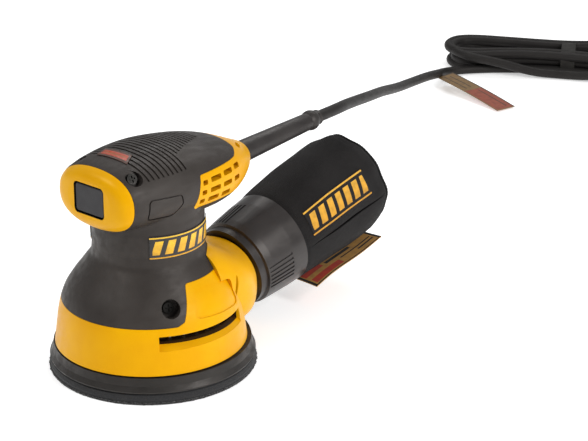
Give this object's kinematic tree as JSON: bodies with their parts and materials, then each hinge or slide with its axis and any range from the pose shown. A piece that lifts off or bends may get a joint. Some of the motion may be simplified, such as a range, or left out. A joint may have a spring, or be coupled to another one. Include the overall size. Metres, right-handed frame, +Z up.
{
  "type": "random orbital sander",
  "caption": "Palm-grip random orbital sander with a round hook-face pad, front rocker switch, rear dust duct with a twist-on cloth bag, and a mains cord.",
  "frame": {"origin": "centre of the sanding face at rest, on the surface it sands", "axes": "+Z up; the switch faces -Y; the bag and the cord leave at +Y; +X is the right side seen from behind"},
  "size_m": [0.2931, 0.7567, 0.1394],
  "materials": {
    "grip_rubber": "soft-touch matt",
    "yellow_plastic": "satin moulded",
    "pale_plastic": "moulded",
    "black_rubber": "moulded rubber",
    "button_rubber": "satin rubber",
    "black_plastic": "satin moulded",
    "steel": "machined",
    "laminations": "varnished laminations",
    "copper_wire": "enamelled winding",
    "copper_bars": "turned copper",
    "zinc_casting": "cast",
    "brass": "formed sheet",
    "carbon": "pressed carbon",
    "foam": "closed-cell foam",
    "hook_fabric": "hook fabric",
    "bag_cloth": "woven polyester",
    "label_cloth": "printed label cloth",
    "cord_jacket": "matt cord jacket"
  },
  "bodies": {
    "housing": {"grip_right": "grip_rubber", "grip_left": "grip_rubber", "shell_right": "yellow_plastic", "shell_left": "yellow_plastic", "shroud": "yellow_plastic", "air_baffle": "pale_plastic", "brush_caps": "pale_plastic", "bearing_plate": "pale_plastic", "upper_bracket": "pale_plastic", "cord_clamp": "pale_plastic", "brake_skirt": "black_rubber", "switch_seal": "black_rubber", "strain_relief": "black_rubber", "switch_body": "black_plastic", "shell_screws": "steel", "lower_bearing": "steel", "upper_bearing": "steel", "brush_springs": "steel", "field_core": "laminations", "field_coils": "copper_wire", "brush_holders": "brass", "plug_blades": "brass", "brushes": "carbon", "cord_tag": "label_cloth", "cord_jacket": "cord_jacket", "cord_tube": "cord_jacket", "cord_hank": "cord_jacket", "lead_wires": "cord_jacket", "cord_tie": "cord_jacket", "plug": "cord_jacket"},
    "rotor": {"counterweight": "zinc_casting", "spindle_bearing": "steel", "cooling_fan": "black_plastic", "armature_shaft": "steel", "armature_core": "laminations", "armature_windings": "copper_wire", "commutator": "copper_bars"},
    "pad": {"pad_hook_face": "hook_fabric", "pad_foam": "foam", "pad_plate": "black_rubber", "spindle": "steel", "pad_screws": "steel"},
    "switch": {"switch_button": "button_rubber"},
    "bag_mount": {"collar_seal": "black_rubber"},
    "bag": {"bag_collar": "black_plastic", "bag_ring": "black_plastic", "dust_bag": "bag_cloth", "bag_label": "label_cloth"}
  },
  "joints": [
    {"name": "motor_spin", "type": "hinge", "parent": "housing", "child": "rotor", "pos_m": [0, -0.0012, 0.06], "axis": [0, 0, 1], "continuous": true},
    {"name": "pad_spin", "type": "hinge", "parent": "rotor", "child": "pad", "pos_m": [0, 0, 0.02], "axis": [0, 0, 1], "continuous": true},
    {"name": "switch_rock", "type": "hinge", "parent": "housing", "child": "switch", "pos_m": [0, -0.0442, 0.117], "axis": [1, 0, 0], "range_deg": [0, 8]},
    {"name": "bag_pull", "type": "slide", "parent": "housing", "child": "bag_mount", "axis": [0, 0.9781, 0.2079], "range_m": [0, 0.028]},
    {"name": "bag_twist", "type": "hinge", "parent": "bag_mount", "child": "bag", "pos_m": [0, 0.07778, 0.03908], "axis": [0, 0.9781, 0.2079], "range_deg": [0, 35]}
  ]
}
